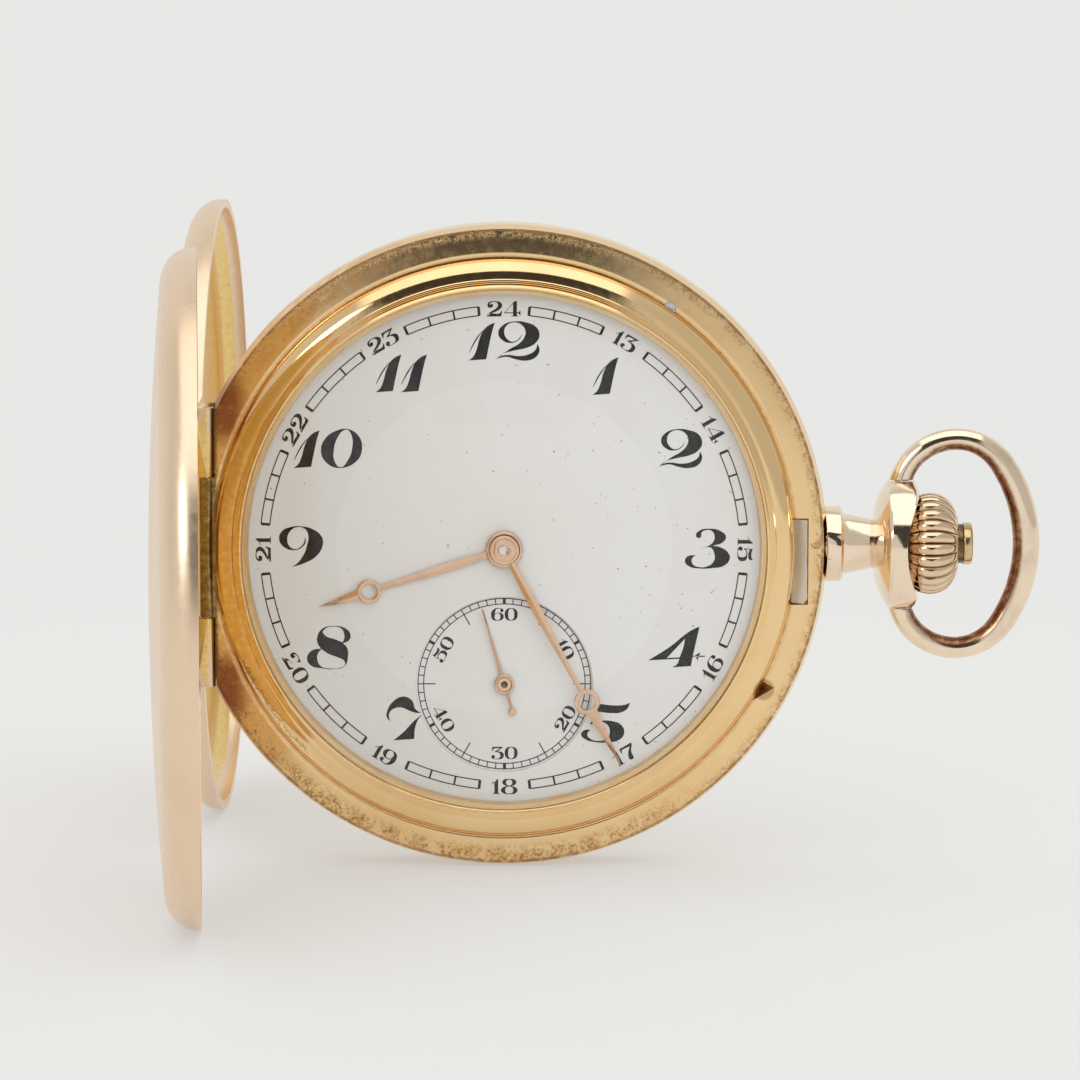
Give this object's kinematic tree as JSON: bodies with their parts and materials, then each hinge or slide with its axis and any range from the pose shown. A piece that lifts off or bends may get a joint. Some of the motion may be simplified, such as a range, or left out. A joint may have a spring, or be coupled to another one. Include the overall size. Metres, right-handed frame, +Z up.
{
  "type": "hunter pocket watch",
  "caption": "Full hunter pocket watch with sprung front cover, hinged back and inner covers, crown, bow, enamel dial and a key-less train movement.",
  "frame": {"origin": "on the floor that the watch stands on, under the middle of its footprint with both covers open", "axes": "+Z up, towards twelve o'clock; +X towards the crown at three o'clock; the dial faces -Y"},
  "size_m": [0.0711, 0.1038, 0.052],
  "materials": {
    "yellow_gold": "polished yellow gold with orange-brown tarnish",
    "rose_gold": "polished rose gold with a pinkish patina",
    "hand_gold": "polished red gold",
    "crystal_glass": "clear domed glass",
    "enamel": "white vitreous enamel",
    "steel": "polished steel",
    "blued_steel": "heat-blued steel",
    "ruby": "polished synthetic ruby",
    "gilt_plate": "frosted gilt",
    "gilt_wheel": "polished gilt brass"
  },
  "bodies": {
    "case": {"case_band": "yellow_gold", "bezel": "yellow_gold", "crystal": "crystal_glass", "hinge_pins": "rose_gold", "lift_spring": "steel", "pendant": "rose_gold", "pendant_sleeve": "steel", "case_screws": "steel", "bezel_pin": "steel", "dial": "enamel", "seconds_dial": "enamel", "main_plate": "gilt_plate", "bridge_plate": "gilt_plate", "bridge_screws": "blued_steel", "jewels": "ruby", "crown_wheel_screw": "blued_steel", "click_spring": "steel", "escapement_bridge": "gilt_plate", "balance_cock": "gilt_plate", "cock_screw": "blued_steel"},
    "front_cover": {"front_cover": "rose_gold"},
    "back_cover": {"back_cover": "rose_gold"},
    "cuvette": {"cuvette": "yellow_gold"},
    "lock_spring": {"lock_spring": "steel"},
    "bow": {"bow": "rose_gold"},
    "winding": {"winding_pinion": "steel", "sliding_pinion": "steel"},
    "crown": {"crown": "rose_gold", "stem": "steel"},
    "push_button": {"push_button": "rose_gold"},
    "crown_wheel": {"crown_wheel": "steel"},
    "winding_arbor": {"barrel_arbor": "steel", "ratchet_wheel": "steel", "ratchet_screw": "blued_steel"},
    "click": {"click": "steel"},
    "barrel": {"barrel": "gilt_wheel", "mainspring": "blued_steel"},
    "centre": {"centre_wheel": "gilt_wheel", "cannon_pinion": "steel", "minute_hand": "hand_gold"},
    "third": {"third_wheel": "gilt_wheel"},
    "fourth": {"fourth_wheel": "gilt_wheel", "seconds_hand": "hand_gold"},
    "escape": {"escape_wheel": "gilt_wheel"},
    "pallet_fork": {"pallet_fork": "steel"},
    "balance": {"balance_wheel": "gilt_wheel", "balance_screws": "gilt_wheel", "balance_staff": "steel", "hairspring": "blued_steel"},
    "minute_wheel": {"minute_wheel": "gilt_wheel"},
    "hour": {"hour_wheel": "gilt_wheel", "hour_hand": "hand_gold"},
    "regulator": {"regulator": "steel"}
  },
  "joints": [
    {"name": "front_cover_hinge", "type": "hinge", "parent": "case", "child": "front_cover", "pos_m": [-0.03134, -0.002, 0.026], "axis": [0, 0, 1], "range_deg": [0, 86.6], "stiffness_Nm_per_rad": 0.0033},
    {"name": "back_cover_hinge", "type": "hinge", "parent": "case", "child": "back_cover", "pos_m": [-0.03134, 0.002, 0.026], "axis": [0, 0, -1], "range_deg": [0, 88.5]},
    {"name": "cuvette_hinge", "type": "hinge", "parent": "case", "child": "cuvette", "pos_m": [-0.03016, 0.003, 0.026], "axis": [0, 0, -1], "range_deg": [-80, 0]},
    {"name": "bow_swing", "type": "hinge", "parent": "case", "child": "bow", "pos_m": [0.02454, 0.00025, 0.026], "axis": [0, 0, 1], "range_deg": [-90, 90]},
    {"name": "crown_turn", "type": "hinge", "parent": "case", "child": "winding", "pos_m": [0.00986, 0.00025, 0.026], "axis": [1, 0, 0], "continuous": true},
    {"name": "crown_pull", "type": "slide", "parent": "winding", "child": "crown", "axis": [1, 0, 0], "range_m": [0, 0.001]},
    {"name": "push_button_press", "type": "slide", "parent": "crown", "child": "push_button", "axis": [1, 0, 0], "range_m": [-0.0003, 0], "stiffness_N_per_m": 600},
    {"name": "lock_spring_draw", "type": "slide", "parent": "case", "child": "lock_spring", "axis": [1, 0, 0], "range_m": [-0.0003, 0]},
    {"name": "seconds_turn", "type": "hinge", "parent": "case", "child": "fourth", "pos_m": [-0.00744, 0, 0.015], "axis": [0, 1, 0], "continuous": true},
    {"name": "escape_turn", "type": "hinge", "parent": "case", "child": "escape", "pos_m": [-0.01163, 0, 0.01742], "axis": [0, 1, 0], "continuous": true},
    {"name": "third_turn", "type": "hinge", "parent": "case", "child": "third", "pos_m": [-0.00427, 0, 0.02004], "axis": [0, 1, 0], "continuous": true},
    {"name": "centre_turn", "type": "hinge", "parent": "case", "child": "centre", "pos_m": [-0.00744, 0, 0.026], "axis": [0, 1, 0], "continuous": true},
    {"name": "barrel_turn", "type": "hinge", "parent": "case", "child": "barrel", "pos_m": [-0.00188, 0, 0.03561], "axis": [0, 1, 0], "continuous": true},
    {"name": "minute_wheel_turn", "type": "hinge", "parent": "case", "child": "minute_wheel", "pos_m": [-0.00473, 0, 0.02699], "axis": [0, 1, 0], "continuous": true},
    {"name": "hour_turn", "type": "hinge", "parent": "case", "child": "hour", "pos_m": [-0.00744, 0, 0.026], "axis": [0, 1, 0], "continuous": true},
    {"name": "crown_wheel_turn", "type": "hinge", "parent": "case", "child": "crown_wheel", "pos_m": [0.00531, 0, 0.026], "axis": [0, 1, 0], "continuous": true},
    {"name": "winding_arbor_turn", "type": "hinge", "parent": "case", "child": "winding_arbor", "pos_m": [-0.00188, 0, 0.03561], "axis": [0, 1, 0], "continuous": true},
    {"name": "click_lift", "type": "hinge", "parent": "case", "child": "click", "pos_m": [-0.01019, 0, 0.04041], "axis": [0, 1, 0], "range_deg": [0, 10], "stiffness_Nm_per_rad": 0.00005},
    {"name": "pallet_fork_rock", "type": "hinge", "parent": "case", "child": "pallet_fork", "pos_m": [-0.01503, 0, 0.01915], "axis": [0, 1, 0], "range_deg": [-6, 6]},
    {"name": "balance_swing", "type": "hinge", "parent": "case", "child": "balance", "pos_m": [-0.01863, 0, 0.02099], "axis": [0, 1, 0], "range_deg": [-270, 270], "stiffness_Nm_per_rad": 0.0000055},
    {"name": "regulator_turn", "type": "hinge", "parent": "case", "child": "regulator", "pos_m": [-0.01863, 0, 0.02099], "axis": [0, 1, 0], "range_deg": [-15, 15]}
  ],
  "couplings": [
    {"joint": "lock_spring_draw", "follows": "push_button_press", "ratio": 1},
    {"joint": "barrel_turn", "follows": "centre_turn", "ratio": -0.125},
    {"joint": "third_turn", "follows": "centre_turn", "ratio": -8},
    {"joint": "seconds_turn", "follows": "centre_turn", "ratio": 60},
    {"joint": "escape_turn", "follows": "centre_turn", "ratio": -600},
    {"joint": "minute_wheel_turn", "follows": "centre_turn", "ratio": -0.33333},
    {"joint": "hour_turn", "follows": "centre_turn", "ratio": 0.083333},
    {"joint": "crown_wheel_turn", "follows": "crown_turn", "ratio": -0.4},
    {"joint": "winding_arbor_turn", "follows": "crown_turn", "ratio": 0.24}
  ]
}
